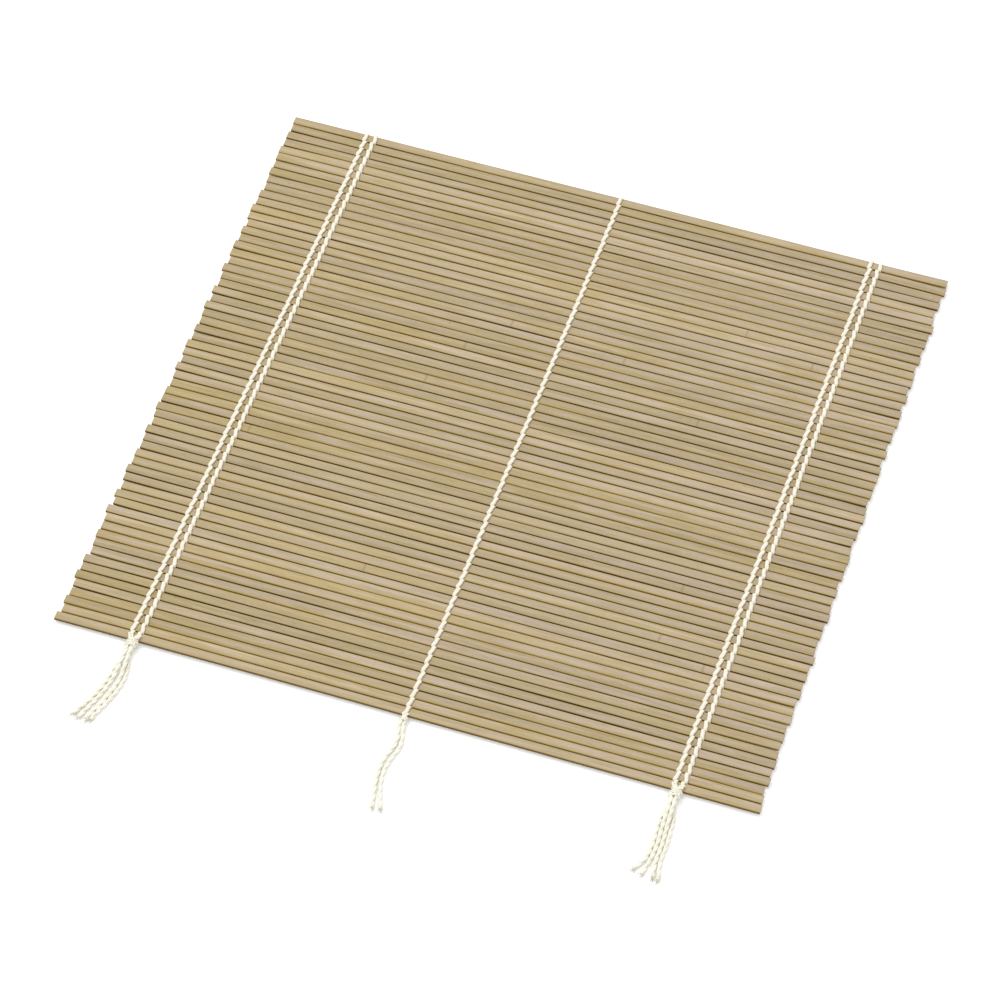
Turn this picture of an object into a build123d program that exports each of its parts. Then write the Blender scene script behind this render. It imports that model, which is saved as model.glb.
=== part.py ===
from build123d import *
from math import radians, tan
import os

# A rolling mat: thin bamboo slats laid side by side and bound by five twined cotton threads.
# X runs along the slats, +Y points to the far edge, where the threads are folded, and +Z is up.
# The origin is under the middle of the mat, on the surface that the mat lies on.
# The mat rolls up from its far edge. It bends in every gap, but is cut here into strips of three
# slats near the knots and of two slats further in, so that each strip has its slats in one
# file and its stretches of thread in another.

# Slats
slat_count = 65
slat_length = 240.0
slat_width = 3.04
slat_thickness = 1.2
slat_gap = 0.5
slat_chamfer = 0.2

# The slats are cut by hand, so their ends are uneven by up to this length.
end_raggedness = 1.2
left_end_step_share = 0.618
right_end_step_share = 0.414

# Strips that turn as one on the way into the roll, from the knots to the far edge
wide_strips = 13
wide_strip_slats = 3
narrow_strip_slats = 2

# Thread, pressed flat where it crosses a slat and squeezed where it passes a gap
thread_rise = 0.8
strand_width = 0.85
strand_chamfer = 0.2
strand_sway = 0.6
strand_fit = 0.05
squeeze_fit = 0.1
shoulder_length = 0.6
shoulder_rise = 0.36
fold_room = 0.3

# Lines that the threads follow across the mat, with their drift from the knots to the far edge
left_pair_x = -92.3
left_pair_drift = 1.6
middle_x = 1.2
middle_drift = 0.3
right_pair_x = 92.5
right_pair_drift = 1.2
pair_spacing = 2.9

# Knots. A big one ties four strands and a small one two.
knot_fit = 0.1
big_knot_length = 5.8
big_knot_neck = 1.75
big_knot_waist = 1.95
big_knot_radius = 2.3
big_knot_height = 2.0
big_knot_reach = 2.9
small_knot_length = 2.0
small_knot_neck = 1.45
small_knot_waist = 1.5
small_knot_radius = 1.6
small_knot_height = 1.5

# Tails, the loose ends of the threads
tail_diameter = 1.3
bend_share = 0.45

pitch = slat_width + slat_gap
mat_depth = slat_count * pitch - slat_gap
near_edge = -mat_depth / 2
first_gap = near_edge - slat_gap / 2
slat_bottom = thread_rise
slat_top = slat_bottom + slat_thickness
slat_middle = (slat_bottom + slat_top) / 2
mat_height = slat_top + thread_rise
strand_leg = slat_gap - 2 * squeeze_fit
strand_bite = shoulder_rise / 2
mat_side = near_edge - slat_gap + squeeze_fit - knot_fit
big_knot_front = mat_side - big_knot_reach


def strips():
    """Each strip's first slat and its number of slats, from the knots to the far edge."""
    found = []
    first = 0
    while first < slat_count:
        wide = len(found) < wide_strips
        wanted = wide_strip_slats if wide else narrow_strip_slats
        count = min(wanted, slat_count - first)
        found.append((first, count))
        first += count
    return found


def chains(first):
    """Where the five twined threads cross a slat, each with the way that it leans."""
    share = first / slat_count
    left = left_pair_x + share * left_pair_drift
    right = right_pair_x + share * right_pair_drift
    return [
        (left - pair_spacing / 2, 1),
        (left + pair_spacing / 2, -1),
        (middle_x + share * middle_drift, 1),
        (right - pair_spacing / 2, 1),
        (right + pair_spacing / 2, -1),
    ]


def slat(number):
    """One slat, an eased strip with uneven ends, inside the strip that is being made."""
    centre = near_edge + slat_width / 2 + number * pitch
    left_end = -slat_length / 2 + end_raggedness * (number * left_end_step_share % 1)
    right_end = slat_length / 2 - end_raggedness * (number * right_end_step_share % 1)
    with BuildSketch(Plane.YZ.offset(left_end)) as end:
        with Locations((centre, slat_middle)):
            Rectangle(slat_width, slat_thickness)
        chamfer(end.vertices(), length=slat_chamfer)
    extrude(end.sketch, amount=right_end - left_end)


def crossing(place, over, lean):
    """A strand's slanting stretch over or under one slat, swaying from side to side."""
    face = slat_top + strand_fit if over else slat_bottom - strand_fit
    up = 1 if over else -1
    side = -lean if over else lean
    half = strand_width / 2
    flat_rise = thread_rise - strand_fit
    flat_length = pitch - 2 * shoulder_length
    stations = [
        (-strand_leg / 2, shoulder_rise),
        (shoulder_length, flat_rise),
        (pitch - shoulder_length, flat_rise),
        (pitch + strand_leg / 2, shoulder_rise),
    ]
    sections = []
    for along, rise in stations:
        x = side * strand_sway * (1 - 2 * along / pitch)
        outer = face + up * rise
        eased = outer - up * strand_chamfer
        with BuildSketch(Plane.XZ.offset(-place * pitch - along)) as section:
            with BuildLine():
                Polyline(
                    (x - half, face),
                    (x + half, face),
                    (x + half, eased),
                    (x + half - strand_chamfer, outer),
                    (x - half + strand_chamfer, outer),
                    (x - half, eased),
                    close=True,
                )
            make_face()
        sections.append(section.sketch)
    lean_over_flat = -side * 2 * strand_sway * flat_length / pitch
    slant = Vector(lean_over_flat, flat_length, 0)
    loft(sections[:2], ruled=True)
    extrude(sections[1], amount=slant.length, dir=slant.normalized())
    loft(sections[2:], ruled=True)


def leg(place, x, width, low, high):
    """The squeezed stretch of a strand that stands in a gap."""
    with BuildSketch(Plane.XY.offset(low)) as foot:
        with Locations((x, place * pitch)):
            Rectangle(width, strand_leg)
    extrude(foot.sketch, amount=high - low)


def strand(count, over_first, lean):
    """One strand across a strip. It starts in the gap before the strip, at y = 0."""
    low = slat_bottom - strand_fit - strand_bite
    high = slat_top + strand_fit + strand_bite
    under_end = slat_middle - fold_room / 2
    over_end = slat_middle + fold_room / 2
    with BuildPart() as made:
        for place in range(count):
            over = over_first == (place % 2 == 0)
            side = lean if over else -lean
            crossing(place, over, lean)
            if place == 0:
                start = (over_end, high) if over else (low, under_end)
                leg(0, -side * strand_sway, strand_width, *start)
            end = (over_end, high) if over else (low, under_end)
            reach = end if place == count - 1 else (low, high)
            leg(place + 1, side * strand_sway, strand_width, *reach)
    return made.part


def far_fold(count, starts):
    """Where each thread goes round the last slat and so joins its two strands."""
    low = slat_bottom - strand_fit - strand_bite
    high = slat_top + strand_fit + strand_bite
    with BuildSketch(Plane.XY.offset(low)) as foot:
        with Locations(*[(x, y + count * pitch) for x, y in starts]):
            Rectangle(2 * strand_sway + strand_width, strand_leg)
    extrude(foot.sketch, amount=high - low)


def knot(x, front, length, neck, waist, bulge, height):
    """A knot with two rounded wraps, pulled up against the mat's edge and flat underneath."""
    back = front + length
    middle = (front + back) / 2
    with BuildSketch(Plane.YZ.offset(x)) as profile:
        with BuildLine():
            Line((front, height), (front, height + neck))
            ThreePointArc(
                (front, height + neck),
                ((front + middle) / 2, height + bulge),
                (middle, height + waist),
            )
            ThreePointArc(
                (middle, height + waist),
                ((middle + back) / 2, height + bulge),
                (back, height + neck),
            )
            Line((back, height + neck), (back, height))
            Line((back, height), (front, height))
        make_face()
    revolve(profile.sketch, axis=Axis((x, front, height), (0, 1, 0)))
    split(bisect_by=Plane.XY, keep=Keep.TOP)
    if back > mat_side:
        with BuildSketch(Plane.XY) as mat_room:
            with Locations((x, mat_side)):
                Rectangle(2 * length, length, align=(Align.CENTER, Align.MIN))
        extrude(mat_room.sketch, amount=mat_height + knot_fit, mode=Mode.SUBTRACT)


def bend_radii(points):
    """The radius of each corner of a route, as large as its two runs allow."""
    radii = []
    for before, corner, after in zip(points, points[1:], points[2:]):
        came = Vector(corner) - Vector(before)
        goes = Vector(after) - Vector(corner)
        turn = radians(came.get_angle(goes))
        shorter = min(came.length, goes.length)
        radii.append(bend_share * shorter / tan(turn / 2))
    return radii


def tail(name, points):
    """One loose end: a tube of straight runs joined by arcs, from its knot to its cut end."""
    radii = bend_radii(points)
    with BuildLine() as route:
        FilletPolyline(*points, radius=radii)
    with BuildSketch(Plane(origin=points[0], z_dir=route.line % 0)) as section:
        Circle(tail_diameter / 2)
    made = sweep(section.sketch, path=route.line)
    length = route.wire().length
    expected = section.sketch.area * length
    print(
        name,
        "length", round(length, 1),
        "least radius", round(min(radii), 1),
        "volume over section times length", round(made.volume / expected, 4),
    )


# Routes of the tails from each knot, read from the photograph, in the order left to right
left_tail_routes = [
    [
        (-93.0, -118.2, 1.3), (-93.0, -121.2, 1.3), (-94.5, -125.4, 0.66), (-94.9, -130.4, 0.66),
        (-95.9, -135.6, 0.66), (-97.5, -140.6, 0.66), (-99.6, -144.8, 0.66), (-101.1, -148.3, 0.66),
    ],
    [
        (-93.0, -118.2, 2.7), (-93.0, -121.2, 2.7), (-93.15, -125.4, 2.1), (-93.4, -130.4, 0.8),
        (-94.4, -135.6, 0.66), (-95.9, -140.8, 0.66), (-97.7, -145.4, 0.66), (-98.7, -149.2, 0.66),
    ],
    [
        (-91.6, -118.2, 2.7), (-91.6, -121.2, 2.7), (-91.3, -125.4, 2.1), (-91.2, -130.4, 0.8),
        (-92.1, -135.6, 0.66), (-93.6, -140.8, 0.66), (-95.3, -145.4, 0.66), (-96.4, -149.0, 0.66),
    ],
    [
        (-91.6, -118.2, 1.3), (-91.6, -121.2, 1.3), (-90.1, -125.4, 0.66), (-89.7, -130.4, 0.66),
        (-90.5, -135.4, 0.66), (-91.9, -140.2, 0.66), (-93.5, -144.6, 0.66), (-94.8, -148.6, 0.66),
    ],
]
middle_tail_routes = [
    [
        (0.5, -117.3, 1.5), (0.5, -119.8, 1.5), (1.7, -123.4, 0.8), (1.5, -127.4, 0.66),
        (0.0, -131.6, 0.66), (-0.3, -136.8, 0.66), (0.5, -142.4, 0.66), (1.8, -147.6, 0.66),
        (2.7, -152.0, 0.66),
    ],
    [
        (1.9, -117.3, 1.5), (1.9, -119.8, 1.5), (3.3, -123.4, 0.8), (3.4, -127.6, 0.66),
        (2.0, -132.0, 0.66), (1.4, -137.2, 0.66), (2.4, -142.6, 0.66), (4.1, -147.6, 0.66),
        (5.6, -151.8, 0.66),
    ],
]
right_tail_routes = [
    [
        (91.8, -118.2, 1.3), (91.8, -121.2, 1.3), (90.5, -125.4, 0.66), (90.6, -130.6, 0.66),
        (91.05, -136.0, 0.66), (90.8, -140.6, 0.66), (89.6, -144.4, 0.66), (87.4, -147.7, 0.66),
    ],
    [
        (91.8, -118.2, 2.7), (91.8, -121.2, 2.7), (91.9, -125.4, 2.1), (92.1, -130.6, 0.8),
        (92.5, -136.0, 0.66), (92.25, -140.8, 0.66), (91.5, -145.2, 0.66), (91.0, -149.0, 0.66),
    ],
    [
        (93.2, -118.2, 2.7), (93.2, -121.2, 2.7), (93.4, -125.4, 2.1), (93.6, -130.6, 0.8),
        (94.0, -136.0, 0.66), (93.75, -140.8, 0.66), (94.2, -145.2, 0.66), (94.9, -148.9, 0.66),
    ],
    [
        (93.2, -118.2, 1.3), (93.2, -121.2, 1.3), (94.8, -125.4, 0.66), (95.1, -130.6, 0.66),
        (95.5, -136.0, 0.66), (95.25, -140.6, 0.66), (95.8, -145.0, 0.66), (97.0, -149.2, 0.66),
    ],
]

os.makedirs("parts", exist_ok=True)

# Slats, one file for each strip, with every slat a solid of its own
for number, (first, count) in enumerate(strips(), 1):
    with BuildPart() as slats:
        for place in range(count):
            slat(first + place)
    slats.part.label = f"slats_{number:02d}"
    export_step(slats.part, f"parts/{slats.part.label}.step")

# Thread. Every strip of one size holds the same strands, so each kind is made once.
kinds = {
    (count, over_first, lean): strand(count, over_first, lean)
    for count in {count for first, count in strips()}
    for over_first in (True, False)
    for lean in (1, -1)
}
for number, (first, count) in enumerate(strips(), 1):
    strip_start = first_gap + first * pitch
    last = first + count == slat_count
    with BuildPart() as stitches:
        for lean in (1, -1):
            starts = [(x, strip_start) for x, leans in chains(first) if leans == lean]
            with Locations(*starts):
                add([kinds[count, True, lean], kinds[count, False, lean]], clean=False)
        if last:
            far_fold(count, [(x, strip_start) for x, leans in chains(first)])
    stitches.part.label = f"stitches_{number:02d}"
    export_step(stitches.part, f"parts/{stitches.part.label}.step")

# Knots
big_knot = (big_knot_length, big_knot_neck, big_knot_waist, big_knot_radius, big_knot_height)
small_knot = (
    small_knot_length, small_knot_neck, small_knot_waist, small_knot_radius, small_knot_height,
)
with BuildPart() as left_knot:
    knot(left_pair_x, big_knot_front, *big_knot)
left_knot.part.label = "left_knot"
export_step(left_knot.part, "parts/left_knot.step")

with BuildPart() as middle_knot:
    knot(middle_x, mat_side - small_knot_length, *small_knot)
middle_knot.part.label = "middle_knot"
export_step(middle_knot.part, "parts/middle_knot.step")

with BuildPart() as right_knot:
    knot(right_pair_x, big_knot_front, *big_knot)
right_knot.part.label = "right_knot"
export_step(right_knot.part, "parts/right_knot.step")

# Tails
with BuildPart() as left_tails:
    for points in left_tail_routes:
        tail("left_tails", points)
left_tails.part.label = "left_tails"
export_step(left_tails.part, "parts/left_tails.step")

with BuildPart() as middle_tails:
    for points in middle_tail_routes:
        tail("middle_tails", points)
middle_tails.part.label = "middle_tails"
export_step(middle_tails.part, "parts/middle_tails.step")

with BuildPart() as right_tails:
    for points in right_tail_routes:
        tail("right_tails", points)
right_tails.part.label = "right_tails"
export_step(right_tails.part, "parts/right_tails.step")
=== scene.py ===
# %% [markdown]
# # A bamboo rolling mat, bound with twined cotton
# The real mat is sixty-five thin slats of split bamboo, five cotton threads that are twined
# round them, three knots and ten loose tails of thread.
# It could be one flat board with a picture of slats on it. Here a loop sweeps each slat, strand
# and hair as a tube of its own, so every gap is a real gap and no two slats are alike.
# The mat's lengths are in millimetres, and MM turns them into metres where Blender needs them.
# The camera, the lamp and the floor are in metres from the start.

import math

import bpy
import numpy as np
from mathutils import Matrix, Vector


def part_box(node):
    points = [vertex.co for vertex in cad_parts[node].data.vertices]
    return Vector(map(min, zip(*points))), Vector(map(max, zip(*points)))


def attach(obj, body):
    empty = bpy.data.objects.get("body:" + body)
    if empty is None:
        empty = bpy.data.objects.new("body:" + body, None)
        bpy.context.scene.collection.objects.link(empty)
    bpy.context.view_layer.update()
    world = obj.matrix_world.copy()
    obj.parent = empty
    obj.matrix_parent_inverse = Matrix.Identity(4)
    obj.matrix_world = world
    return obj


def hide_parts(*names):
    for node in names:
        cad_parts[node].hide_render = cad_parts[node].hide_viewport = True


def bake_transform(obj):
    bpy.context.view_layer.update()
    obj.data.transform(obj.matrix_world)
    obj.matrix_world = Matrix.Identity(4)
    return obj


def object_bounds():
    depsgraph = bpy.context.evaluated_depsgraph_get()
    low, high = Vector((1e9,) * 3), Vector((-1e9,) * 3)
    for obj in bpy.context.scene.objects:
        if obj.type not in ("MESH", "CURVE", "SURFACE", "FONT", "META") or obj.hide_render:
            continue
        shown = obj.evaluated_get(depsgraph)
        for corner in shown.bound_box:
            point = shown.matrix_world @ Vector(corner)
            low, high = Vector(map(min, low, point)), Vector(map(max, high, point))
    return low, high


MM = 0.001
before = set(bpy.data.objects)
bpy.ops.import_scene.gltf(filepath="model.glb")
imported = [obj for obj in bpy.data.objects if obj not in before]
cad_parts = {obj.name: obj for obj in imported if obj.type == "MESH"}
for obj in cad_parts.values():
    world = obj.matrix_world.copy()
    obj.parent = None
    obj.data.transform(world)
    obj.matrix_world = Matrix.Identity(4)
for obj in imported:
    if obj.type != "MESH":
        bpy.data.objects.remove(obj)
cad_low, cad_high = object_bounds()
print("CAD box in mm", [round(v / MM, 1) for v in (*cad_low, *cad_high)])

# %% [markdown]
# ## The camera
# The photograph was taken with a long lens from the knotted side, well above the table and a
# little to the right. Such a view can be matched by eye, turn by turn.
# Here the mat's corners and edges were matched instead, and these values are what came out.

# %% Place the camera
camera_azimuth = math.radians(18.42)
camera_elevation = math.radians(53.04)
camera_distance = 1.5824
camera_target = (0.0028, -0.02335, 0.002)
camera_lens = 171.54
sensor_width = 36.0

camera_data = bpy.data.cameras.new("camera")
camera_data.lens = camera_lens
camera_data.sensor_width = sensor_width
camera = bpy.data.objects.new("camera", camera_data)
bpy.context.collection.objects.link(camera)
level = math.cos(camera_elevation) * camera_distance
camera.location = (
    camera_target[0] + math.sin(camera_azimuth) * level,
    camera_target[1] - math.cos(camera_azimuth) * level,
    camera_target[2] + math.sin(camera_elevation) * camera_distance,
)
camera.rotation_euler = (math.pi / 2 - camera_elevation, 0, camera_azimuth)
bpy.context.scene.camera = camera
print("camera at", [round(v, 3) for v in camera.location])

# %% [markdown]
# ## Sizes read from the frame
# A strip is two or three neighbouring slats that turn together when the mat is rolled.
# The sizes could be typed again here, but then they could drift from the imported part's.
# So the slats' pitch, their two faces and the gaps come from the boxes of its pieces.

# %% Work out the slats' sizes
strip_names = sorted(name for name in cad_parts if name.startswith("slats_"))
strip_boxes = [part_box(name) for name in strip_names]
strip_bodies = ["knotted_edge"] + [f"strip_{i:02d}" for i in range(2, len(strip_names) + 1)]
slat_count = 65
half_length = cad_high[0] / MM
near_edge = strip_boxes[0][0][1] / MM
far_edge = strip_boxes[-1][1][1] / MM
slat_bottom = strip_boxes[0][0][2] / MM
slat_top = strip_boxes[0][1][2] / MM
slat_middle = (slat_bottom + slat_top) / 2
strip_gap = (strip_boxes[1][0][1] - strip_boxes[0][1][1]) / MM
pitch = (far_edge - near_edge + strip_gap) / slat_count
slat_width = pitch - strip_gap
strip_sizes = [round(((b[1][1] - b[0][1]) / MM + strip_gap) / pitch) for b in strip_boxes]
strip_starts = [sum(strip_sizes[:i]) for i in range(len(strip_sizes))]
print("pitch", round(pitch, 3), "slat width", round(slat_width, 3), "strips", strip_sizes)

# %% [markdown]
# ## The tails' routes
# Each tail is a free end of thread that leaves its knot and falls to the table.
# A simulated rope would fall in its own way. A listed route lies as it does in the
# photograph, and it is the run of control points of one open NURBS spline.

# %% Write down where each tail goes
left_routes = [
    [(-93.0, -118.2, 1.3), (-93.0, -121.2, 1.3), (-94.5, -125.4, 0.66), (-94.9, -130.4, 0.66),
     (-95.9, -135.6, 0.66), (-97.5, -140.6, 0.66), (-99.6, -144.8, 0.66), (-101.1, -148.3, 0.66)],
    [(-93.0, -118.2, 2.7), (-93.0, -121.2, 2.7), (-93.15, -125.4, 2.1), (-93.4, -130.4, 0.8),
     (-94.4, -135.6, 0.66), (-95.9, -140.8, 0.66), (-97.7, -145.4, 0.66), (-98.7, -149.2, 0.66)],
    [(-91.6, -118.2, 2.7), (-91.6, -121.2, 2.7), (-91.3, -125.4, 2.1), (-91.2, -130.4, 0.8),
     (-92.1, -135.6, 0.66), (-93.6, -140.8, 0.66), (-95.3, -145.4, 0.66), (-96.4, -149.0, 0.66)],
    [(-91.6, -118.2, 1.3), (-91.6, -121.2, 1.3), (-90.1, -125.4, 0.66), (-89.7, -130.4, 0.66),
     (-90.5, -135.4, 0.66), (-91.9, -140.2, 0.66), (-93.5, -144.6, 0.66), (-94.8, -148.6, 0.66)],
]
middle_routes = [
    [(0.5, -117.3, 1.5), (0.5, -119.8, 1.5), (1.7, -123.4, 0.8), (1.5, -127.4, 0.66),
     (0.0, -131.6, 0.66), (-0.3, -136.8, 0.66), (0.5, -142.4, 0.66), (1.8, -147.6, 0.66),
     (2.7, -152.0, 0.66)],
    [(1.9, -117.3, 1.5), (1.9, -119.8, 1.5), (3.3, -123.4, 0.8), (3.4, -127.6, 0.66),
     (2.0, -132.0, 0.66), (1.4, -137.2, 0.66), (2.4, -142.6, 0.66), (4.1, -147.6, 0.66),
     (5.6, -151.8, 0.66)],
]
right_routes = [
    [(91.8, -118.2, 1.3), (91.8, -121.2, 1.3), (90.5, -125.4, 0.66), (90.6, -130.6, 0.66),
     (91.05, -136.0, 0.66), (90.8, -140.6, 0.66), (89.6, -144.4, 0.66), (87.4, -147.7, 0.66)],
    [(91.8, -118.2, 2.7), (91.8, -121.2, 2.7), (91.9, -125.4, 2.1), (92.1, -130.6, 0.8),
     (92.5, -136.0, 0.66), (92.25, -140.8, 0.66), (91.5, -145.2, 0.66), (91.0, -149.0, 0.66)],
    [(93.2, -118.2, 2.7), (93.2, -121.2, 2.7), (93.4, -125.4, 2.1), (93.6, -130.6, 0.8),
     (94.0, -136.0, 0.66), (93.75, -140.8, 0.66), (94.2, -145.2, 0.66), (94.9, -148.9, 0.66)],
    [(93.2, -118.2, 1.3), (93.2, -121.2, 1.3), (94.8, -125.4, 0.66), (95.1, -130.6, 0.66),
     (95.5, -136.0, 0.66), (95.25, -140.6, 0.66), (95.8, -145.0, 0.66), (97.0, -149.2, 0.66)],
]
tail_routes = {"left": left_routes, "middle": middle_routes, "right": right_routes}
print("tails", {side: len(routes) for side, routes in tail_routes.items()})

# %% Turn each route into a smooth line of points
points_per_span = 12


def spline_points(route):
    """The points of the open NURBS spline that has the route's points as its control points."""
    curve = bpy.data.curves.new("route", "CURVE")
    curve.dimensions = "3D"
    curve.resolution_u = points_per_span
    spline = curve.splines.new("NURBS")
    spline.points.add(len(route) - 1)
    for point, place in zip(spline.points, route):
        point.co = (*place, 1.0)
    spline.order_u = 3
    spline.use_endpoint_u = True
    holder = bpy.data.objects.new("route", curve)
    bpy.context.collection.objects.link(holder)
    bpy.context.view_layer.update()
    line = bpy.data.meshes.new_from_object(holder)
    points = np.array([v.co for v in line.vertices])
    bpy.data.objects.remove(holder)
    bpy.data.curves.remove(curve)
    bpy.data.meshes.remove(line)
    return points


def run_along(points):
    """How far along the line each of its points lies."""
    steps = np.linalg.norm(np.diff(points, axis=0), axis=1)
    return np.concatenate([[0.0], np.cumsum(steps)])


def line_length(points):
    """How long a line of points is."""
    return float(run_along(points)[-1])


tail_lines = {side: [spline_points(r) for r in routes] for side, routes in tail_routes.items()}
for side, lines in tail_lines.items():
    print(side, "tail lengths in mm", [round(line_length(line), 1) for line in lines])

# %% [markdown]
# ## Small tools for meshes
# Slats, strands and hairs are all tubes with some section, swept along some line.
# A modifier on a curve could sweep them, but not with a section that turns and swells.
# A Batch gathers such tubes, with numbers on their vertices, and makes one object of them.

# %% Gather vertices and faces into one object
table_room = 0.01


class Batch:
    """Vertices in millimetres and faces, with named numbers on the vertices."""

    def __init__(self):
        self.points = []
        self.faces = []
        self.numbers = {}
        self.count = 0

    def add(self, points, faces, **numbers):
        """More points and faces, with one number, or one for each point, under each name."""
        points = np.asarray(points, float)
        self.points.append(points)
        self.faces.extend([tuple(int(i) + self.count for i in face) for face in faces])
        for name, value in numbers.items():
            filled = np.broadcast_to(np.asarray(value, float), (len(points),))
            self.numbers.setdefault(name, []).append(filled)
        self.count += len(points)

    def make(self, name, material):
        """One smooth object, kept just above the table."""
        mesh = bpy.data.meshes.new(name)
        points = np.concatenate(self.points)
        points[:, 2] = np.maximum(points[:, 2], table_room)
        mesh.from_pydata(points * MM, [], self.faces)
        for key, parts in self.numbers.items():
            layer = mesh.attributes.new(key, "FLOAT", "POINT")
            layer.data.foreach_set("value", np.concatenate(parts).astype(np.float32))
        mesh.shade_smooth()
        mesh.materials.append(material)
        made = bpy.data.objects.new(name, mesh)
        bpy.context.collection.objects.link(made)
        return made


print("batches ready, table room in mm", table_room)

# %% Close a tube from its rings
def tube_faces(rings, sides):
    """Quads between a tube's rings, and caps on copies of its end rings, so that they stay sharp."""
    faces = []
    for ring in range(rings - 1):
        for side in range(sides):
            right = (side + 1) % sides
            low, high = ring * sides, (ring + 1) * sides
            faces.append((low + side, low + right, high + right, high + side))
    first_cap = rings * sides
    last_cap = first_cap + sides
    faces.append(tuple(reversed(range(first_cap, last_cap))))
    faces.append(tuple(range(last_cap, last_cap + sides)))
    return faces


def add_tube(batch, shell, **numbers):
    """A closed tube from its rings of points, an array of rings by sides by three."""
    rings, sides = shell.shape[:2]
    points = np.concatenate([shell, shell[:1], shell[-1:]]).reshape(-1, 3)
    spread = {}
    for name, value in numbers.items():
        grid = np.broadcast_to(np.asarray(value, float), (rings, sides))
        spread[name] = np.concatenate([grid, grid[:1], grid[-1:]]).reshape(-1)
    batch.add(points, tube_faces(rings, sides), **spread)


print("a tube of 2 rings and 3 sides has", len(tube_faces(2, 3)), "faces")

# %% Carry a square frame along a line
tiny = 1e-9


def unit(vectors):
    """The same vectors with length one."""
    return vectors / np.maximum(np.linalg.norm(vectors, axis=-1, keepdims=True), tiny)


def frames_along(points, start_side=(1.0, 0.0, 0.0)):
    """Vectors ahead, to the side and outward along the line, turned as little as they can be."""
    ahead = unit(np.gradient(points, axis=0))
    side = np.zeros_like(ahead)
    last = np.array(start_side, float)
    for i, direction in enumerate(ahead):
        last = last - direction * (last @ direction)
        last = last / max(np.linalg.norm(last), tiny)
        side[i] = last
    return ahead, side, np.cross(ahead, side)


def add_oval_tube(batch, line, side, normal, angle, wide, thin):
    """A tube whose rings reach by wide along side and by thin along normal at each angle."""
    shell = line[:, None, :]
    shell = shell + side[:, None, :] * (wide * np.cos(angle))[:, :, None]
    shell = shell + normal[:, None, :] * (thin * np.sin(angle))[:, :, None]
    add_tube(batch, shell)


straight = np.outer(np.arange(3.0), (0.0, 1.0, 0.0))
print("side and outward of a line along y", [v[0].tolist() for v in frames_along(straight)[1:]])

# %% [markdown]
# ## Hairs
# Cotton looks soft because many short fibres stand off it, each finer than a human hair.
# A particle system could grow them, but it wouldn't reach the exported model.
# So a hair here is a thin curved tube with three sides. There are fewer of them than of real
# fibres, and each is thicker, so that they still show.

# %% Draw one hair
chance = np.random.default_rng(20)
hair_rings = 4
hair_sides = 3
hair_taper = 0.6
hair_table_room = 0.03


def hair(batch, start, direction, length, radius, sag):
    """A thin curved fibre, thinner to its tip."""
    share = np.linspace(0, 1, hair_rings)[:, None]
    line = start + direction * length * share + sag * share**2
    line[:, 2] = np.maximum(line[:, 2], radius + hair_table_room)
    side, normal = frames_along(line, chance.normal(size=3))[1:]
    turns = np.linspace(0, 2 * math.pi, hair_sides, endpoint=False)[None, :]
    size = radius * (1 - hair_taper * share)
    add_oval_tube(batch, line, side, normal, turns, size, size)


print("a hair has", hair_rings, "rings of", hair_sides, "sides")

# %% Scatter hairs along a thread
fuzz_outward = 0.6
fuzz_lean = (-0.8, 1.0)
fuzz_sag = 0.3
fuzz_length_shares = (0.5, 1)


def outward(side, normal):
    """A random direction square to a thread."""
    turn = chance.uniform(0, 2 * math.pi)
    return side * math.cos(turn) + normal * math.sin(turn)


def add_fuzz(batch, line, reach, count, length, radius=0.03):
    """Short hairs that stand off a thread at random places along its line."""
    ahead, side, normal = frames_along(line)
    for _ in range(count):
        i = int(chance.integers(0, len(line)))
        out = outward(side[i], normal[i])
        direction = unit(out * fuzz_outward + ahead[i] * chance.uniform(*fuzz_lean))
        sag = chance.normal(size=3) * fuzz_sag
        hair_length = chance.uniform(*fuzz_length_shares) * length
        hair(batch, line[i] + out * reach, direction, hair_length, radius, sag)


print("hairs are", fuzz_length_shares, "of the length that is asked for")

# %% [markdown]
# ## Materials
# On the real mat no tone stays the same for long, on a slat or on a thread. Such changes could
# be painted on an image. Here a graph of nodes works them out from where each point lies.
# Nodes that are linked one by one hide what they work out. So a wire stands for one output of
# a node, and a sum on wires adds the nodes for it. Then a material reads like a recipe.

# %% A wrapper that turns sums into nodes
class Wire:
    """An output of a node that can be used in sums."""

    def __init__(self, graph, socket):
        self.graph = graph
        self.socket = socket

    def sum_with(self, operation, *values):
        """One Math node for the operation, with the values in its sockets."""
        return self.graph.wire("ShaderNodeMath", 0, {"operation": operation}, dict(enumerate(values)))

    def __add__(self, other):
        return self.sum_with("ADD", self, other)

    def __sub__(self, other):
        return self.sum_with("SUBTRACT", self, other)

    def __mul__(self, other):
        return self.sum_with("MULTIPLY", self, other)

    def __radd__(self, other):
        return self.sum_with("ADD", other, self)

    def __rsub__(self, other):
        return self.sum_with("SUBTRACT", other, self)

    def __rmul__(self, other):
        return self.sum_with("MULTIPLY", other, self)

    def size(self):
        """How far from nought it is, either way."""
        return self.sum_with("ABSOLUTE", self)

    def swing(self, amount):
        """A noise from nought to one as a push either way, by up to half the amount."""
        return (self - 0.5) * amount

    def above(self, low, high):
        """Nought below low, one above high, and a smooth rise between."""
        settings = {"interpolation_type": "SMOOTHSTEP"}
        sockets = {"Value": self, "From Min": low, "From Max": high}
        return self.graph.wire("ShaderNodeMapRange", 0, settings, sockets)


print("wires add, subtract and multiply, with a number on either side")

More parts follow.
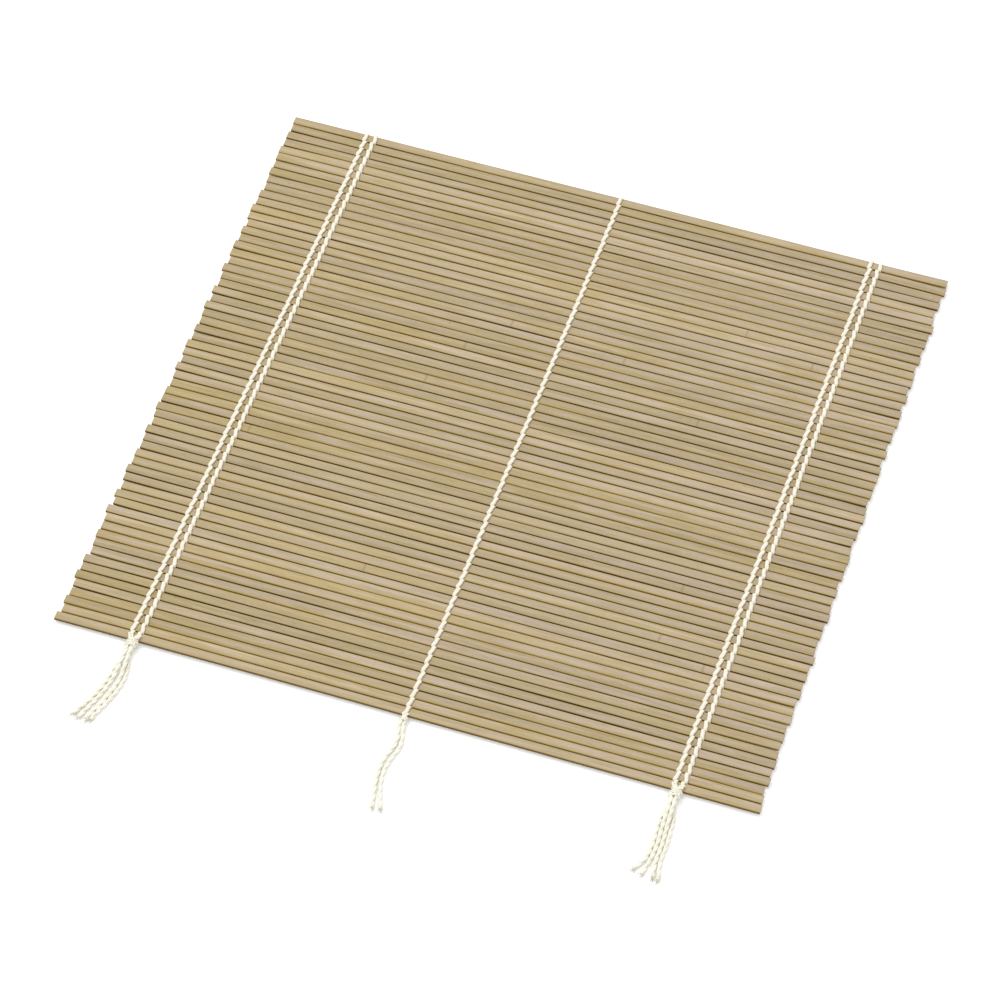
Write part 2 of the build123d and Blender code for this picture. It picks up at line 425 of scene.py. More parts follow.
# %% One method for every kind of node
class Graph:
    """The nodes of one material or of the world."""

    def __init__(self, owner):
        owner.use_nodes = True
        self.owner = owner
        self.tree = owner.node_tree
        self.tree.nodes.clear()

    def add(self, kind, settings=None, sockets=None):
        """One node of any kind: its settings first, then what goes into its sockets."""
        node = self.tree.nodes.new(kind)
        for key, value in (settings or {}).items():
            setattr(node, key, value)
        for key, value in (sockets or {}).items():
            if isinstance(value, Wire):
                self.tree.links.new(value.socket, node.inputs[key])
            else:
                node.inputs[key].default_value = value
        return node

    def wire(self, kind, output, settings=None, sockets=None):
        """One output of a new node."""
        return Wire(self, self.add(kind, settings, sockets).outputs[output])

    def finish(self, shader, kind="ShaderNodeOutputMaterial"):
        """Hand the shader to the output and give back the material or the world."""
        self.add(kind, None, {"Surface": shader})
        return self.owner

    def number(self, name):
        """A named number that the mesh carries on its vertices."""
        return self.wire("ShaderNodeAttribute", "Fac", {"attribute_name": name})

    def place(self):
        """The point's own x, y and z, in millimetres."""
        coordinates = self.wire("ShaderNodeTexCoord", "Object")
        split = self.add("ShaderNodeSeparateXYZ", None, {0: coordinates})
        return [Wire(self, out) * (1 / MM) for out in split.outputs]

    def noise(self, x, y, z, detail=2.0, roughness=0.5):
        """A cloudy noise from nought to one, stretched by what x, y and z are multiplied with."""
        point = self.wire("ShaderNodeCombineXYZ", 0, None, {0: x, 1: y, 2: z})
        sockets = {"Vector": point, "Scale": 1.0, "Detail": detail, "Roughness": roughness}
        return self.wire("ShaderNodeTexNoise", 0, None, sockets)

    def draws(self, seed):
        """Three numbers from nought to one that depend only on the seed."""
        random = self.wire("ShaderNodeTexWhiteNoise", "Color", {"noise_dimensions": "1D"}, {"W": seed})
        split = self.add("ShaderNodeSeparateColor", None, {0: random})
        return [Wire(self, out) for out in split.outputs]

    def mix(self, share, first, second, blend="MIX"):
        """The first colour with its share of the second laid over it."""
        settings = {"data_type": "RGBA", "blend_type": blend}
        return self.wire("ShaderNodeMix", 2, settings, {0: share, 6: first, 7: second})


print("graphs measure places in mm,", 1 / MM, "to a metre")

# %% [markdown]
# ### Bamboo
# Each slat of a real mat comes from another place in the stem, so its tone runs from straw to
# khaki and pinkish grey. Long fibres run with the slat, and its sawn sides get painted shade.
# An image of bamboo would repeat. Noise that is stretched along x, and shifted by the slat's
# number, gives every slat a grain of its own.

# %% Choose the bamboo's colours
straw = (0.525, 0.42, 0.253, 1)
khaki = (0.475, 0.37, 0.175, 1)
rosy = (0.525, 0.425, 0.325, 1)
olive = (0.44, 0.36, 0.17, 1)
fibre_brown = (0.30, 0.21, 0.095, 1)
edge_gold = (0.42, 0.29, 0.095, 1)
# Painted shade: this dark brown on the sawn sides stands for the shade down in the gaps.
side_painted_shade = (0.15, 0.08, 0.012, 1)
side_gold = (0.46, 0.31, 0.075, 1)
node_brown = (0.25, 0.165, 0.085, 1)
print("straw", straw[:3], "rosy", rosy[:3])

# %% Read the slat, and stretch noises along it
fibre_along = 0.07
fibre_across = 3.0


class Grain:
    """What the tone depends on: the point's place, its slat's draws, and seven noises."""

    def __init__(self, graph):
        x, y = graph.place()[:2]
        slat = graph.number("slat")
        across = graph.number("across")
        self.x = x
        self.across = across
        self.node_x = graph.number("node_x")
        self.khaki_draw, self.rosy_draw, self.olive_draw = graph.draws(slat * 1.37 + 0.21)
        self.lower_draw, self.light_draw, self.side_draw = graph.draws(slat * 2.11 + 7.4)
        self.slow = graph.noise(x * 0.014, across * 0.4, slat * 11.3, 1.0)
        self.broad = graph.noise(x * 0.035, across * 1.9, slat * 4.7, 3.0, 0.65)
        self.patch = graph.noise(x * 0.045, across * 0.8, slat * 9.1, 2.0, 0.6)
        self.fibre = graph.noise(x * fibre_along, y * fibre_across, slat * 5.1, 4.0, 0.7)
        self.fine = graph.noise(x * 0.2, y * 9.0, slat * 3.3, 2.0, 0.6)
        self.mottle = graph.noise(x * 0.7, y * 3.0, slat * 6.3, 3.0, 0.7)
        self.speck = graph.noise(x * 0.45, y * 1.6, slat * 8.9, 2.0, 0.5)


print("fibres are about", round(fibre_across / fibre_along), "times as long as they are wide")

# %% Tone the face
slow_swing = 1.4
broad_swing = 1.4
patch_swing = 1.6
rosy_rise = 0.0012
rosy_share = 0.9
olive_share = 0.6
lower_share = 0.7


def face_tone(graph, grain):
    """Straw with khaki lengths, pinkish middles, olive patches and a khaki lower half."""
    lengths = grain.khaki_draw * 0.5 + 0.25 + grain.slow.swing(slow_swing)
    tone = graph.mix(lengths.above(0.25, 0.85), straw, khaki)
    middle = grain.rosy_draw * 0.4 - (grain.across - 0.15).size() * 0.5
    middle = middle + grain.broad.swing(broad_swing) + grain.patch.swing(patch_swing)
    middle = middle + grain.x * rosy_rise
    tone = graph.mix(middle.above(-0.2, 0.35) * rosy_share, tone, rosy)
    patches = grain.olive_draw * 0.6 + grain.patch.swing(patch_swing)
    tone = graph.mix(patches.above(0.35, 0.85) * olive_share, tone, olive)
    lower = grain.lower_draw.swing(0.6) - grain.across * 0.7 + grain.broad.swing(broad_swing)
    return graph.mix(lower.above(0.25, 0.95) * lower_share, tone, khaki)


print("rosy, olive and lower shares", (rosy_share, olive_share, lower_share))

# %% Add fibres, and lighter and darker places
fibre_share = 0.42
fine_share = 0.35
speck_share = 0.45
light_least = 0.84
light_spread = 0.17


def add_fibres(graph, grain, tone):
    """Long brown fibres, finer ones between them, short specks, and lighter and darker places."""
    tone = graph.mix(grain.fibre.above(0.5, 0.75) * fibre_share, tone, fibre_brown)
    tone = graph.mix(grain.fine.above(0.58, 0.8) * fine_share, tone, fibre_brown)
    tone = graph.mix(grain.speck.above(0.68, 0.76) * speck_share, tone, fibre_brown)
    light = light_least + grain.light_draw * light_spread + grain.slow.swing(0.3)
    light = light + grain.patch.swing(0.35) + grain.fine.swing(0.45)
    light = light + grain.broad.swing(0.3) + grain.mottle.swing(0.3)
    grey = graph.wire("ShaderNodeCombineColor", 0, None, {0: light, 1: light, 2: light})
    return graph.mix(1.0, tone, grey, "MULTIPLY")


print("slats are lit between", light_least, "and", light_least + light_spread, "of their tone")

# %% Add the node and the edges
node_share = 0.4
gold_share = 0.6
side_tone_and_shade_share = 0.92
side_shade_swing = 1.6


def add_edges(graph, grain, tone):
    """A thin brown node, golden edges on the face, and golden sawn sides with patches of painted shade."""
    from_node = grain.x - grain.node_x + grain.fine.swing(1.2)
    tone = graph.mix((1.0 - from_node.size().above(0.15, 0.6)) * node_share, tone, node_brown)
    tone = graph.mix(grain.across.size().above(0.7, 0.97) * gold_share, tone, edge_gold)
    # Painted shade for the gaps: along each slat the sawn sides turn at random from golden brown to dark.
    golden = (grain.side_draw + grain.slow.swing(side_shade_swing)).above(0.35, 0.85)
    side_tone_and_shade = graph.mix(golden, side_painted_shade, side_gold)
    return graph.mix(grain.across.size().above(0.94, 1.0) * side_tone_and_shade_share, tone, side_tone_and_shade)


print("node, gold and sawn shares", (node_share, gold_share, side_tone_and_shade_share))

# %% Mix the bamboo
bamboo_roughness = 0.62
bamboo_shine = 0.3
relief_strength = 0.35
relief_depth = 0.1 * MM


def make_bamboo():
    """Bamboo of all these tones, with a fine relief along its fibres."""
    graph = Graph(bpy.data.materials.new("bamboo"))
    grain = Grain(graph)
    height = grain.fibre * 0.6 + grain.fine * 0.4
    relief = {"Height": height, "Strength": relief_strength, "Distance": relief_depth}
    finish = {
        "Base Color": add_edges(graph, grain, add_fibres(graph, grain, face_tone(graph, grain))),
        "Roughness": bamboo_roughness,
        "Normal": graph.wire("ShaderNodeBump", 0, None, relief),
        "Specular IOR Level": bamboo_shine,
    }
    return graph.finish(graph.wire("ShaderNodeBsdfPrincipled", 0, None, finish))


bamboo = make_bamboo()
print("bamboo nodes", len(bamboo.node_tree.nodes))

# %% [markdown]
# ### Cotton
# Undyed cotton is an ivory that is a touch yellower in places and quite matt.
# Light shining through the fibres could be added, but in threads as thin as these it would
# turn them grey. A pale colour with a weak sheen stays nearer to the real thread.

# %% Mix the cotton
ivory = (0.91, 0.86, 0.735, 1)
pale_ivory = (0.985, 0.965, 0.85, 1)
cream = (0.89, 0.825, 0.65, 1)
greenish = (0.87, 0.85, 0.67, 1)
cotton_roughness = 0.9
cotton_shine = 0.2
cotton_sheen = 0.15


def make_cotton(name, base, tint_share):
    """Cotton of one base colour with cream patches and greenish specks."""
    graph = Graph(bpy.data.materials.new(name))
    x, y, z = graph.place()
    patch = graph.noise(x * 0.18, y * 0.18, z * 0.3, 2.0)
    speck = graph.noise(x * 3.1, y * 3.1, z * 3.1, 2.0)
    tone = graph.mix(patch.above(0.42, 0.66) * tint_share, base, cream)
    finish = {
        "Base Color": graph.mix(speck.above(0.5, 0.75) * tint_share, tone, greenish),
        "Roughness": cotton_roughness,
        "Specular IOR Level": cotton_shine,
        "Sheen Weight": cotton_sheen,
    }
    return graph.finish(graph.wire("ShaderNodeBsdfPrincipled", 0, None, finish))


chain_cotton = make_cotton("chain_cotton", ivory, 0.25)
knot_cotton = make_cotton("knot_cotton", pale_ivory, 0.3)
tail_cotton = make_cotton("tail_cotton", pale_ivory, 0.3)
print("cotton for", [cotton.name for cotton in (chain_cotton, knot_cotton, tail_cotton)])

# %% [markdown]
# ## The slats
# A real slat is split and planed, so it is flat, but its edges wander a little, its free ends
# lean one way or the other, and a few slats hold a node of the stem.
# An array of one slat would show that it repeats. So each slat is swept from end to end
# through stations along x, with random draws of its own.

# %% Shape a slat's section
corner_turns = (0.0, 0.5, 1.0)
face_shares = (0.5, 0.0, -0.5)


def slat_outline():
    """Places round a slat's section: side across, side up, and how far round the corner."""
    places = []
    for side_y, side_z in ((1, 1), (-1, 1), (-1, -1), (1, -1)):
        turns = corner_turns if side_y * side_z > 0 else corner_turns[::-1]
        for turn in turns:
            angle = turn * math.pi / 2
            places.append((side_y, side_z, math.cos(angle), math.sin(angle)))
        if side_y == side_z:
            places += [(side_y * share, side_z, 0, 1) for share in face_shares]
    return np.array(places, float)


outline = slat_outline()
print("points round a slat", len(outline))

# %% Draw how far each slat's ends lean
end_lean = 0.27
lean_change = 0.36
leans = np.zeros((slat_count, 2))
for k in range(slat_count):
    leans[k] = chance.uniform(-end_lean, end_lean, 2)
    if k:
        leans[k] = np.clip(leans[k], leans[k - 1] - lean_change, leans[k - 1] + lean_change)
print("furthest lean in mm", round(float(np.abs(leans).max()), 2))

# %% Let a slat's edges wander
lean_from = 94.0
edge_wander = 0.1
width_spread = 0.11
calm_share = 0.6
wave_bends = 4
wave_scale = 1.6
bend_spread = (0.6, 1.3)
bend_strength = (0.4, 1.0)


def slow_wave(x, reach):
    """A smooth line along x that wanders by about reach."""
    total = np.zeros_like(x)
    for bend in range(1, wave_bends + 1):
        bends = x / (2 * half_length) * bend * chance.uniform(*bend_spread)
        wave = 2 * math.pi * (bends + chance.uniform())
        total += np.sin(wave) / bend * chance.uniform(*bend_strength)
    return total * reach / wave_scale


def slat_edges(x, k):
    """The y of a slat's near and far edge at each station."""
    beyond = np.maximum(np.abs(x) - lean_from, 0) / (half_length - lean_from)
    lean = np.where(x < 0, leans[k, 0], leans[k, 1]) * beyond**2
    calm = 1 - calm_share * beyond
    start = near_edge + pitch * k
    near = start + lean + slow_wave(x, edge_wander) * calm
    near = near - chance.uniform(0, width_spread) * calm
    far = start + slat_width + lean + slow_wave(x, edge_wander) * calm
    far = far + chance.uniform(0, width_spread) * calm
    return near, far


print("a slat gains up to", round(2 * width_spread, 2), "mm in width")

# %% Sweep one slat
corner = 0.2
crown = 0.04
face_room = 0.03
tilt_most = 0.035
station_step = 2.5
end_raggedness = 1.2
end_change = 0.5
left_end_step = 0.618
right_end_step = 0.414
node_reach = 105
node_odds = 0.14
no_node = 500.0


def add_slat(batch, k):
    """One slat, with its number, its place across and its node written on its vertices."""
    left = -half_length + end_raggedness * ((left_end_step * k) % 1) + chance.uniform(0, end_change)
    right = half_length - end_raggedness * ((right_end_step * k) % 1) - chance.uniform(0, end_change)
    x = np.linspace(left, right, round((right - left) / station_step) + 1)
    near, far = slat_edges(x, k)
    centre = ((near + far) / 2)[:, None]
    half = ((far - near) / 2)[:, None]
    tilt = chance.uniform(-tilt_most, tilt_most)
    side_y, side_z, in_y, in_z = outline.T
    at_side = np.abs(side_y) == 1
    y = centre + np.where(at_side, side_y * (half - corner + corner * in_y), side_y * half)
    half_height = (slat_top - slat_bottom) / 2
    height = np.where(at_side, half_height - corner + corner * in_z, half_height)
    z = slat_middle + side_z * height + tilt * side_y
    z = z - np.where(side_z > 0, crown * side_y**2, 0)
    z = np.clip(z, slat_bottom, slat_top + face_room)
    points = np.stack(np.broadcast_arrays(x[:, None], y, z), axis=-1)
    node_x = chance.uniform(-node_reach, node_reach) if chance.uniform() < node_odds else no_node
    add_tube(batch, points, slat=float(k), across=(y - centre) / half, node_x=node_x)


print("stations along a slat", round(2 * half_length / station_step) + 1)

# %% Make the strips of slats
slat_pieces = []
for i, (name, body) in enumerate(zip(strip_names, strip_bodies)):
    batch = Batch()
    for k in range(strip_starts[i], strip_starts[i] + strip_sizes[i]):
        add_slat(batch, k)
    piece = batch.make(f"bamboo_{i + 1:02d}", bamboo)
    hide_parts(name)
    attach(piece, body)
    slat_pieces.append(piece)
print("slat pieces", len(slat_pieces), "vertices", sum(len(p.data.vertices) for p in slat_pieces))

# %% [markdown]
# ## The binding threads
# Each thread has two strands. At every slat one goes over and the other under, and they change
# places in every gap.
# A braid from a curve with a round section would look like wire. A cotton strand is flat where
# it lies on a slat, squeezed in the gap, and made of plies, so its section here is an oval
# with three lobes that turn as it goes along.

# %% Lay a twisted strand along a line
strand_sides = 10
strand_lobes = 3
lobe_depth = 0.11
thread_lay = 2.4


def strand(batch, points, half_width, half_height, side, normal, phase):
    """A tube round the line: wide along side, thin along normal, with lobes that turn."""
    run = run_along(points)
    angle = np.linspace(0, 2 * math.pi, strand_sides, endpoint=False)
    turn = strand_lobes * angle[None, :] - (2 * math.pi * run / thread_lay)[:, None] + phase
    reach = 1 - lobe_depth + lobe_depth * np.cos(turn)
    wide = half_width[:, None] * reach
    thin = half_height[:, None] * reach
    add_oval_tube(batch, points, side, normal, angle, wide, thin)


print("a strand has", strand_lobes, "lobes, and they repeat every", thread_lay, "mm")

# %% Go round a slat, over it or under it
rings_per_slat = 14
thread_rise = 0.40
over_height = slat_top - slat_middle + thread_rise
arc_squareness = 0.42
arc_samples = 400


def slat_arc(over):
    """Half a turn round a slat, as (y, z, share of the way) from one gap to the next."""
    angle = np.linspace(0, math.pi, arc_samples)
    y = -np.sign(np.cos(angle)) * np.abs(np.cos(angle)) ** arc_squareness * pitch / 2
    z = np.abs(np.sin(angle)) ** arc_squareness * over_height * (1 if over else -1)
    run = run_along(np.stack([y, z], axis=1))
    share = np.linspace(0, 1, rings_per_slat + 1)
    places = share * run[-1]
    return np.interp(places, run, y), np.interp(places, run, z), share


arcs = {over: slat_arc(over) for over in (True, False)}
print("a strand passes", round(over_height, 2), "mm over or under the middle of a slat")

# %% Follow one strand from the knot to the far edge
knot_x = {"left": -92.3, "middle": 1.2, "right": 92.5}
pair_half_spacing = 1.52
chain_sway = 0.58
steady_share = 0.42
gather = 0.55
wander_most = 0.1
chains = {
    "left_a": ("left", -pair_half_spacing, 1.6, 1),
    "left_b": ("left", pair_half_spacing, 1.6, -1),
    "middle": ("middle", 0.0, 0.3, 1),
    "right_a": ("right", -pair_half_spacing, 1.2, 1),
    "right_b": ("right", pair_half_spacing, 1.2, -1),
}


def strand_line(chain, first_over):
    """The strand's points, one ring after another, and how open it is at each."""
    knot_side, offset, drift, lean = chains[chain]
    base = knot_x[knot_side] + offset
    points = []
    openness = []
    for k in range(slat_count):
        over = (k % 2 == 0) == first_over
        y, z, share = arcs[over]
        if k:
            y, z, share = y[1:], z[1:], share[1:]
        centre_y = near_edge + slat_width / 2 + pitch * k
        turned = 2 * share - 1
        way = 0.5 + steady_share * turned + (0.5 - steady_share) * turned**5
        start, stop = (-1, 1) if over else (1, -1)
        if k == slat_count - 1:
            stop = 0
        sway = start + (stop - start) * way
        wander = chance.uniform(-wander_most, wander_most)
        middle = base + drift * (k + share) / slat_count + wander * np.sin(math.pi * share)
        x = middle + lean * chain_sway * sway
        if k == 0:
            x = x + (knot_x[knot_side] - x) * gather * (1 - share) ** 2
        points.append(np.stack([x, centre_y + y, slat_middle + z], axis=1))
        openness.append(np.abs(z) / over_height)
    return np.concatenate(points), np.concatenate(openness)


chain_lines = {}
for chain in chains:
    for first_over in (True, False):
        chain_lines[chain, first_over] = strand_line(chain, first_over)
print("strand points", {key[0]: len(line[0]) for key, line in chain_lines.items()})

# %% [markdown]
# ### Threads cut into pieces
# A real thread runs on through every gap. A piece of it that rode on one strip would tear off
# the next one. So the threads are cut halfway over a slat of each strip, where nothing bends.
# The first piece rides on the knotted edge, the last on the far strip, and the others stay put.

# %% Fit a run of a strand between two cuts
strand_half_width = 0.7
strand_half_height = 0.40
squeezed_half_height = 0.25
narrow_share = 0.74
open_growth = 0.34
open_gain = 1.15
fuzz_height = 0.2
rings_per_hair = 5
thread_hair_length = 0.7
thread_hair_radius = 0.022
hair_root_share = 0.9


def add_run(batch, line, openness, first, last):
    """Rings first to last of one strand."""
    points = line[first : last + 1]
    open_share = np.clip(openness[first : last + 1] * open_gain, 0, 1)
    thin = squeezed_half_height + (strand_half_height - squeezed_half_height) * open_share
    wide = strand_half_width * (narrow_share + open_growth * open_share**2)
    ahead = unit(np.gradient(line, axis=0))[first : last + 1]
    along_x = np.array([1.0, 0.0, 0.0])
    side = unit(along_x - ahead * (ahead @ along_x)[:, None])
    phase = -2 * math.pi * run_along(line)[first] / thread_lay
    strand(batch, points, wide, thin, side, np.cross(ahead, side), phase)
    on_top = points[points[:, 2] > slat_top + fuzz_height]
    if len(on_top) > 2:
        hairs = len(on_top) // rings_per_hair
        reach = strand_half_height * hair_root_share
        add_fuzz(batch, on_top, reach, hairs, thread_hair_length, thread_hair_radius)


print("hairs on a thread, in mm", thread_hair_length, "long and", 2 * thread_hair_radius, "thick")

# %% Cut the threads into pieces
middle_ring = rings_per_slat // 2
cut_slats = [start + 1 for start in strip_starts]
cut_rings = [0] + [k * rings_per_slat + middle_ring for k in cut_slats] + [slat_count * rings_per_slat]
thread_pieces = []
for i in range(len(strip_bodies) + 1):
    batch = Batch()
    for line, openness in chain_lines.values():
        add_run(batch, line, openness, cut_rings[i], cut_rings[i + 1])
    piece = batch.make(f"binding_{i:02d}", chain_cotton)
    node = f"stitches_{min(i + 1, len(strip_bodies)):02d}"
    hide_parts(node)
    if i == 0:
        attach(piece, strip_bodies[0])
    elif i == len(strip_bodies):
        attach(piece, strip_bodies[-1])
    else:
        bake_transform(piece)
    thread_pieces.append(piece)
print("thread pieces", len(thread_pieces), "vertices", sum(len(p.data.vertices) for p in thread_pieces))

# %% [markdown]
# ## Knots
# A big knot ties four strands: turns of thread round the bundle, and two strands crossing on
# top. The middle knot ties only two and stays small and flat.
# A lump with a bump map would do from far away. Thread that is really wound shows its turns
# and its gaps from every side, and it needs only a coil and a few listed lines.

# %% Twist a round thread from its plies
ply_sides = 8


def even_points(points, step):
    """The same line with points about one step apart, and its two ends kept."""
    run = run_along(points)
    count = max(2, round(run[-1] / step) + 1)
    places = np.linspace(0, run[-1], count)
    return np.stack([np.interp(places, run, points[:, i]) for i in range(3)], axis=1)


def yarn(batch, points, radius, step=0.25, plies=2, lay=3.0, ply_share=0.56, phase=0.0):
    """A round thread of twisted plies along the line."""
    line = even_points(points, step)
    side, normal = frames_along(line)[1:]
    run = run_along(line)
    turns = np.linspace(0, 2 * math.pi, ply_sides, endpoint=False)[None, :]
    for ply in range(plies):
        angle = 2 * math.pi * (run / lay + ply / plies) + phase
        shift = radius * (1 - ply_share)
        centre = line + side * (shift * np.cos(angle))[:, None]
        centre = centre + normal * (shift * np.sin(angle))[:, None]
        ply_side, ply_normal = frames_along(centre)[1:]
        ply_radius = radius * ply_share
        add_oval_tube(batch, centre, ply_side, ply_normal, turns, ply_radius, ply_radius)


print("sides of a ply", ply_sides)

# %% Wind a coil, and lead strands through a knot
coil_points_per_turn = 24
coil_end_share = 0.86


def coil(x, height, radius_x, radius_z, front, back, turns, slant):
    """Turns of thread round an axis along y, between two places in front of the near edge."""
    share = np.linspace(0, 1, round(turns * coil_points_per_turn) + 1)
    angle = 2 * math.pi * turns * share
    bulge = coil_end_share + (1 - coil_end_share) * np.sin(math.pi * share)
    start_y, stop_y = near_edge - front, near_edge - back
    coil_x = x + radius_x * bulge * np.cos(angle)
    coil_y = start_y + (stop_y - start_y) * share + slant * np.cos(angle)
    coil_z = height + radius_z * bulge * np.sin(angle)
    return np.stack([coil_x, coil_y, coil_z], axis=1)


def knot_line(x, places):
    """A smooth line by places given as (right of x, in front of the near edge, height)."""
    return spline_points([(x + right, near_edge - front, height) for right, front, height in places])


print("points in a turn of a coil", coil_points_per_turn)

# %% Tie the big knot
strap_places = [(-1.5, -1.8, 2.6), (-1.0, -0.6, 3.4), (-0.1, 0.8, 3.95), (0.9, 2.2, 3.5), (1.2, 3.3, 2.5)]
back_places = [(1.5, -1.7, 2.55), (1.2, -0.4, 3.1), (0.4, 0.6, 3.3), (-0.9, 1.8, 2.6), (-1.3, 3.1, 1.6)]
strand_offsets = (-0.42, 0.42)
core_places = ((-0.7, 1.4), (0.7, 1.4), (-0.7, 2.7), (0.7, 2.7))
core_radius = 0.58
yarn_radius = 0.5
knot_hair_reach = yarn_radius * 0.8


def big_knot(batch, x):
    """Four strands tied in one overhand knot at this x."""
    wraps = coil(x, height=2.1, radius_x=1.75, radius_z=1.55, front=2.95, back=0.9, turns=2.6, slant=0.4)
    yarn(batch, wraps, yarn_radius)
    add_fuzz(batch, wraps, knot_hair_reach, count=260, length=1.0)
    for offset in strand_offsets:
        strap = knot_line(x + offset, strap_places)
        yarn(batch, strap, yarn_radius)
        add_fuzz(batch, strap, knot_hair_reach, count=40, length=0.9)
        yarn(batch, knot_line(x + offset, back_places), yarn_radius)
    for right, height in core_places:
        core = [(right, 0.8, height), (right * 0.9, 2.1, height), (right, 4.4, height)]
        yarn(batch, knot_line(x, core), core_radius)


print("lines in a big knot", 1 + 2 * len(strand_offsets) + len(core_places))

# %% Tie the small knot
def small_knot(batch, x):
    """Two strands crossed and tied flat."""
    wraps = coil(x, height=1.5, radius_x=0.95, radius_z=0.95, front=2.1, back=1.1, turns=1.4, slant=0.25)
    yarn(batch, wraps, yarn_radius)
    add_fuzz(batch, wraps, knot_hair_reach, count=60, length=0.8)
    for sign in (-1, 1):
        cross = [
            (sign * 0.8, -0.4, 2.5),
            (sign * 0.6, 0.6, 2.35 + 0.1 * sign),
            (-sign * 0.5, 1.6, 1.9 + 0.3 * sign),
            (-sign * 0.7, 2.8, 1.5),
        ]
        yarn(batch, knot_line(x, cross), yarn_radius)


knots = {}
for side, x in knot_x.items():
    batch = Batch()
    if side == "middle":
        small_knot(batch, x)
    else:
        big_knot(batch, x)
    knot = batch.make(f"{side}_tied", knot_cotton)
    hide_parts(f"{side}_knot")
    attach(knot, "knotted_edge")
    knots[side] = knot
print("knots", {side: len(k.data.vertices) for side, k in knots.items()})

# %% [markdown]
# ## Tails
# A tail is the same thread let loose: it untwists a little, swells, and frays at its cut end.
# A plain tube would look like plastic. Two plies, hairs all along them and a brush of thicker
# fibres at the end are what make it look like cotton.

# %% Fray the end of a tail
loose_points = 4
fray_points = 12
fray_count = 26
fray_reach = 0.4
fray_spread = (0.05, 0.55)
fray_sag = 0.2
fray_lengths = (1.2, 2.4)
fray_radii = (0.09, 0.17)


def add_fray(batch, line, radius):
    """Thick fibres that splay out of the last points of a tail."""
    ahead, side, normal = frames_along(line)
    for _ in range(fray_count):
        i = int(chance.integers(len(line) - fray_points, len(line) - loose_points))
        out = outward(side[i], normal[i])
        direction = unit(ahead[i] + out * chance.uniform(*fray_spread))
        sag = chance.normal(size=3) * fray_sag
        start = line[i] + out * radius * fray_reach
        hair(batch, start, direction, chance.uniform(*fray_lengths), chance.uniform(*fray_radii), sag)


print("fibres in a frayed end", fray_count)

# %% Lay one tail
tail_step = 0.3
tail_plies = 2
tail_lay = 6.0
tail_ply_share = 0.62
tail_swell = 1.2
tail_turn_most = 6
fuzz_per_mm = 9.0
tail_hair_length = 1.2
tail_hair_radius = 0.024
tail_hair_reach = 0.8


def tail(batch, line, radius):
    """Two plies along the line, hairs all along it and a frayed end."""
    fine_line = even_points(line, tail_step)
    twisted = fine_line[:-loose_points]
    phase = chance.uniform(0, tail_turn_most)
    yarn(batch, twisted, radius * tail_swell, tail_step, tail_plies, tail_lay, tail_ply_share, phase)
    hairs = round(line_length(line) * fuzz_per_mm)
    add_fuzz(batch, fine_line, radius * tail_hair_reach, hairs, tail_hair_length, tail_hair_radius)
    add_fray(batch, fine_line, radius)


print("hairs on a tail of 30 mm", round(30 * fuzz_per_mm))

# %% Lay all the tails
tail_diameter = 1.3
tail_pieces = []
for side, lines in tail_lines.items():
    for number, line in enumerate(lines, 1):
        batch = Batch()
        tail(batch, line, tail_diameter / 2)
        piece = batch.make(f"{side}_tail_{number}", tail_cotton)
        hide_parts(f"{side}_tails")
        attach(piece, "knotted_edge")
        tuple(line[0] * MM)
        [knots[side]] if number == 1 else []
        tail_pieces.append(piece)
print("tails", len(tail_pieces), "vertices", sum(len(p.data.vertices) for p in tail_pieces))

# %% [markdown]
# ## Floor and light
# In the photograph the mat lies on white that has no edge and takes only a faint shadow.
# More light would bleach the floor, and the cotton with it. So the floor is lifted to white
# only where the camera looks at it, and the mat is lit as if the floor were a plain pale one.

# %% Lay the floor
floor_reach = 3.0
floor_lift = 0.25
pale = (0.8, 0.8, 0.8, 1)
white = (1, 1, 1, 1)


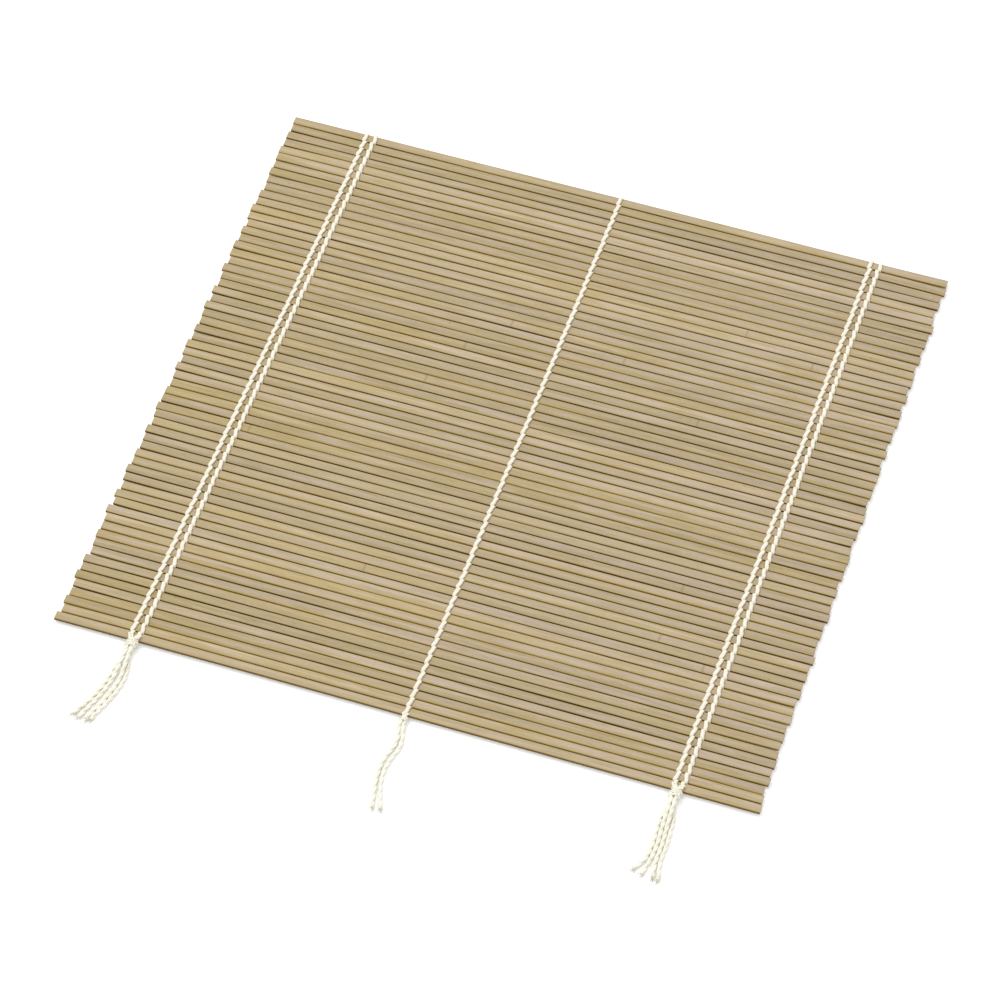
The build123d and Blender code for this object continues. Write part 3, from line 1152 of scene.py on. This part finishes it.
def make_floor_white():
    """Pale for the mat's light, and white to the camera."""
    graph = Graph(bpy.data.materials.new("floor_white"))
    plain = graph.wire("ShaderNodeBsdfDiffuse", 0, None, {"Color": pale})
    bright = graph.wire("ShaderNodeBsdfDiffuse", 0, None, {"Color": white})
    lift = graph.wire("ShaderNodeEmission", 0, None, {"Color": white, "Strength": floor_lift})
    seen = graph.wire("ShaderNodeAddShader", 0, None, {0: bright, 1: lift})
    to_camera = graph.wire("ShaderNodeLightPath", "Is Camera Ray")
    return graph.finish(graph.wire("ShaderNodeMixShader", 0, None, {0: to_camera, 1: plain, 2: seen}))


floor_corners = [(-1, -1), (1, -1), (1, 1), (-1, 1)]
floor_mesh = bpy.data.meshes.new("floor")
floor_mesh.from_pydata([(u * floor_reach, v * floor_reach, 0) for u, v in floor_corners], [], [(0, 1, 2, 3)])
floor_mesh.materials.append(make_floor_white())
floor = bpy.data.objects.new("floor", floor_mesh)
bpy.context.collection.objects.link(floor)
print("floor in m", 2 * floor_reach)

# %% Set the lamp
key_place = (-2.1, 1.5, 4.5)
key_size = 2.7
key_power = 107.0


def soft_light(name, place, size, power):
    """A square lamp that faces the mat's middle."""
    lamp = bpy.data.lights.new(name, "AREA")
    lamp.size = size
    lamp.energy = power
    made = bpy.data.objects.new(name, lamp)
    bpy.context.collection.objects.link(made)
    made.location = place
    made.rotation_euler = (-made.location).to_track_quat("-Z", "Y").to_euler()
    return made


key = soft_light("key", key_place, key_size, key_power)
print("lamp", key.name, "power", key.data.energy)

# %% Set the light from all round
sky_strength = 0.8
backdrop_strength = 1.0


def make_studio():
    """Even light on the mat, and white behind it where the camera looks."""
    graph = Graph(bpy.data.worlds.new("studio"))
    around = graph.wire("ShaderNodeBackground", 0, None, {"Color": white, "Strength": sky_strength})
    backdrop = graph.wire("ShaderNodeBackground", 0, None, {"Color": white, "Strength": backdrop_strength})
    to_camera = graph.wire("ShaderNodeLightPath", "Is Camera Ray")
    mixed = graph.wire("ShaderNodeMixShader", 0, None, {0: to_camera, 1: around, 2: backdrop})
    return graph.finish(mixed, "ShaderNodeOutputWorld")


bpy.context.scene.world = make_studio()
bpy.context.scene.view_settings.view_transform = "Standard"
print("world", bpy.context.scene.world.name)
